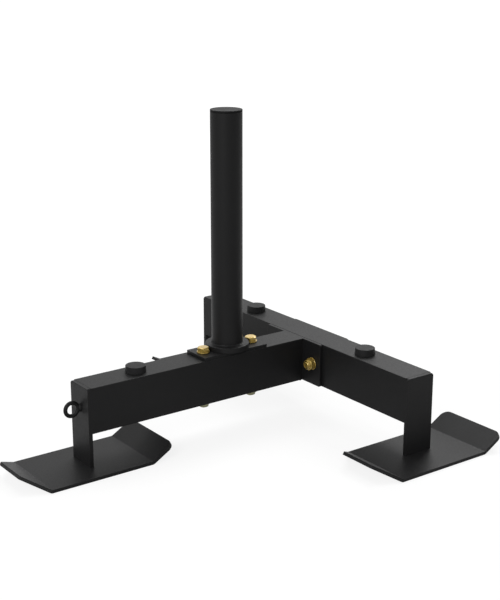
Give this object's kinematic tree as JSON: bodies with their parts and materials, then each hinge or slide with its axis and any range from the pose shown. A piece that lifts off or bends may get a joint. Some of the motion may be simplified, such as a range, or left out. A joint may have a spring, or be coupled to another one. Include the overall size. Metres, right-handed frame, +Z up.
{
  "type": "weight sled",
  "caption": "T-shaped frame of box tube on bent-up plate skis, with an upright post for weight plates, rubber plate rests and a pull eye in front",
  "frame": {"origin": "under the middle of the sled's bounding box, on the ground that the skis stand on", "axes": "+Z up along the post; -Y forward, the way the pull eye faces; +X to the right as seen by someone who faces the pull eye; the cross tube lies along X at the back"},
  "size_m": [0.6416, 0.6584, 0.4994],
  "materials": {
    "powder_coat": "black satin powder coat",
    "moulded_plastic": "black moulded plastic, lightly textured",
    "rubber": "matt black rubber",
    "yellow_zinc": "yellow passivated zinc plating"
  },
  "bodies": {
    "root": {"main_tube": "powder_coat", "cross_tube": "powder_coat", "front_leg": "powder_coat", "left_leg": "powder_coat", "right_leg": "powder_coat", "front_ski": "powder_coat", "left_ski": "powder_coat", "right_ski": "powder_coat", "junction_flange": "powder_coat", "rear_clamp_plate": "powder_coat", "post_base_plate": "powder_coat", "post_collar": "powder_coat", "post_tube": "powder_coat", "pull_eye": "powder_coat", "post_cap": "moulded_plastic", "front_bumper": "rubber", "left_bumper": "rubber", "right_bumper": "rubber", "post_bolt_front": "yellow_zinc", "post_top_washer_front": "yellow_zinc", "post_bottom_washer_front": "yellow_zinc", "post_nut_front": "yellow_zinc", "post_bolt_rear": "yellow_zinc", "post_top_washer_rear": "yellow_zinc", "post_bottom_washer_rear": "yellow_zinc", "post_nut_rear": "yellow_zinc", "junction_bolt_left": "yellow_zinc", "junction_rear_washer_left": "yellow_zinc", "junction_front_washer_left": "yellow_zinc", "junction_nut_left": "yellow_zinc", "junction_bolt_right": "yellow_zinc", "junction_rear_washer_right": "yellow_zinc", "junction_front_washer_right": "yellow_zinc", "junction_nut_right": "yellow_zinc", "pull_eye_weld_nut": "yellow_zinc"}
  },
  "joints": []
}
